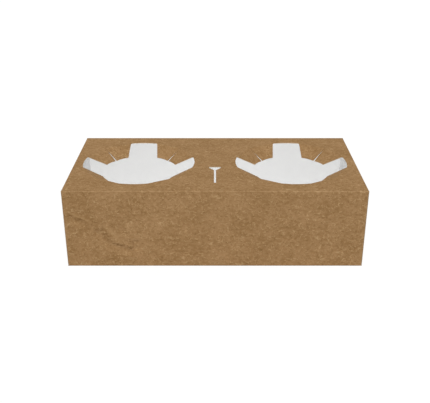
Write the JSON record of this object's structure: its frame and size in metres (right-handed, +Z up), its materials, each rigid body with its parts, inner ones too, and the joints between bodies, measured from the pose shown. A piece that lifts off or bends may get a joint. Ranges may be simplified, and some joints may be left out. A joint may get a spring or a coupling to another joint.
{
  "type": "cup carrier",
  "caption": "Closed folded-board box that carries takeaway cups: round openings in its top are ringed by flaps that lean down to grip each cup, with a funnel-mouthed slot between them.",
  "frame": {"origin": "middle of the base, on the surface that the carrier stands on", "axes": "+X along the carrier, through both cups; +Y from the front panel to the back panel; +Z up"},
  "size_m": [0.215, 0.11, 0.06],
  "materials": {
    "kraft_board": "matt uncoated brown kraft outside, white lining inside"
  },
  "bodies": {
    "root": {"cup_carrier": "kraft_board"}
  },
  "joints": []
}
